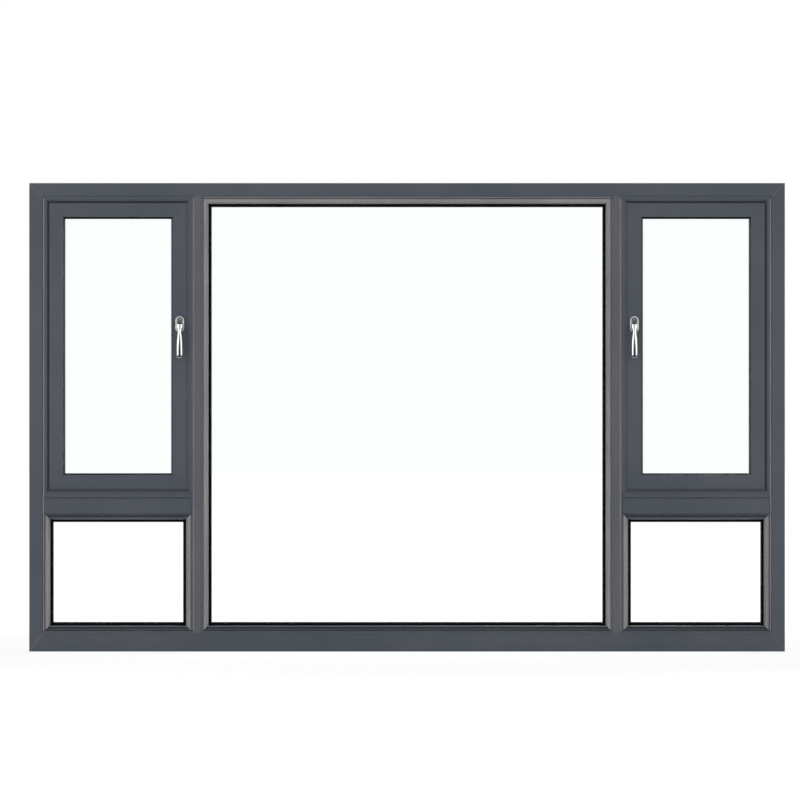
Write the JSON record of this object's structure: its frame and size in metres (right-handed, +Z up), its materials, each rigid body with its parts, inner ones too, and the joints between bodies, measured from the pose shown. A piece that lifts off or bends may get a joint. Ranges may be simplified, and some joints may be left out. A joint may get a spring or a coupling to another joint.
{
  "type": "casement window",
  "caption": "Wide aluminium casement window with a fixed picture light between side bays, each with a side-hung sash that opens outwards above a fixed lower light.",
  "frame": {"origin": "underside of the sill, at mid length and mid depth of the frame", "axes": "+X along the window to the right seen from the room, +Y out of the room, +Z up"},
  "size_m": [2.4, 0.12, 1.488],
  "materials": {
    "frame_paint": "satin dark grey powder coat",
    "bead_paint": "satin grey-brown powder coat",
    "hinge_paint": "satin dark paint",
    "rubber": "matt black",
    "spacer": "matt black",
    "glass": "clear",
    "chrome": "polished",
    "steel": "zinc plated",
    "mill_aluminium": "mill"
  },
  "bodies": {
    "frame": {"head_rail": "frame_paint", "sill_rail": "frame_paint", "frame_corner_cleats": "mill_aluminium", "bar_connectors": "mill_aluminium", "hinge_pins": "steel", "hinge_frame_leaves": "hinge_paint", "keepers": "steel", "lip_seals": "rubber", "carrier_strips": "frame_paint", "picture_panes": "glass", "picture_spacer": "spacer", "picture_glazing_rubbers": "rubber", "picture_beads": "bead_paint", "picture_stops": "frame_paint", "left_lower_panes": "glass", "left_lower_spacer": "spacer", "left_lower_glazing_rubbers": "rubber", "left_lower_beads": "bead_paint", "left_lower_stops": "frame_paint", "right_lower_panes": "glass", "right_lower_spacer": "spacer", "right_lower_glazing_rubbers": "rubber", "right_lower_beads": "bead_paint", "right_lower_stops": "frame_paint", "left_jamb": "frame_paint", "left_mullion": "frame_paint", "left_transom": "frame_paint", "left_surround": "frame_paint", "right_jamb": "frame_paint", "right_mullion": "frame_paint", "right_transom": "frame_paint", "right_surround": "frame_paint"},
    "left_sash": {"left_sash_hinge_stile": "frame_paint", "left_sash_lock_stile": "frame_paint", "left_sash_top_rail": "frame_paint", "left_sash_bottom_rail": "frame_paint", "left_sash_corner_cleats": "mill_aluminium", "left_sash_panes": "glass", "left_sash_spacer": "spacer", "left_sash_glazing_rubbers": "rubber", "left_sash_beads": "frame_paint", "left_hinge_sash_leaves": "hinge_paint", "left_handle_base": "chrome"},
    "left_handle": {"left_handle_lever": "chrome", "left_drive_spindle": "steel"},
    "left_lock": {"left_lock_rod": "steel"},
    "right_sash": {"right_sash_hinge_stile": "frame_paint", "right_sash_lock_stile": "frame_paint", "right_sash_top_rail": "frame_paint", "right_sash_bottom_rail": "frame_paint", "right_sash_corner_cleats": "mill_aluminium", "right_sash_panes": "glass", "right_sash_spacer": "spacer", "right_sash_glazing_rubbers": "rubber", "right_sash_beads": "frame_paint", "right_hinge_sash_leaves": "hinge_paint", "right_handle_base": "chrome"},
    "right_handle": {"right_handle_lever": "chrome", "right_drive_spindle": "steel"},
    "right_lock": {"right_lock_rod": "steel"}
  },
  "joints": [
    {"name": "left_sash_swing", "type": "hinge", "parent": "frame", "child": "left_sash", "pos_m": [-1.169, 0.046, 0.971], "axis": [0, 0, 1], "range_deg": [0, 90]},
    {"name": "left_handle_turn", "type": "hinge", "parent": "left_sash", "child": "left_handle", "pos_m": [-0.722, -0.04, 1.027], "axis": [0, 1, 0], "range_deg": [0, 90]},
    {"name": "left_lock_slide", "type": "slide", "parent": "left_sash", "child": "left_lock", "axis": [0, 0, -1], "range_m": [0, 0.01885]},
    {"name": "right_sash_swing", "type": "hinge", "parent": "frame", "child": "right_sash", "pos_m": [1.169, 0.046, 0.971], "axis": [0, 0, -1], "range_deg": [0, 90]},
    {"name": "right_handle_turn", "type": "hinge", "parent": "right_sash", "child": "right_handle", "pos_m": [0.722, -0.04, 1.027], "axis": [0, -1, 0], "range_deg": [0, 90]},
    {"name": "right_lock_slide", "type": "slide", "parent": "right_sash", "child": "right_lock", "axis": [0, 0, -1], "range_m": [0, 0.01885]}
  ],
  "couplings": [
    {"joint": "left_lock_slide", "follows": "left_handle_turn", "m_per_rad": 0.012},
    {"joint": "right_lock_slide", "follows": "right_handle_turn", "m_per_rad": 0.012}
  ]
}
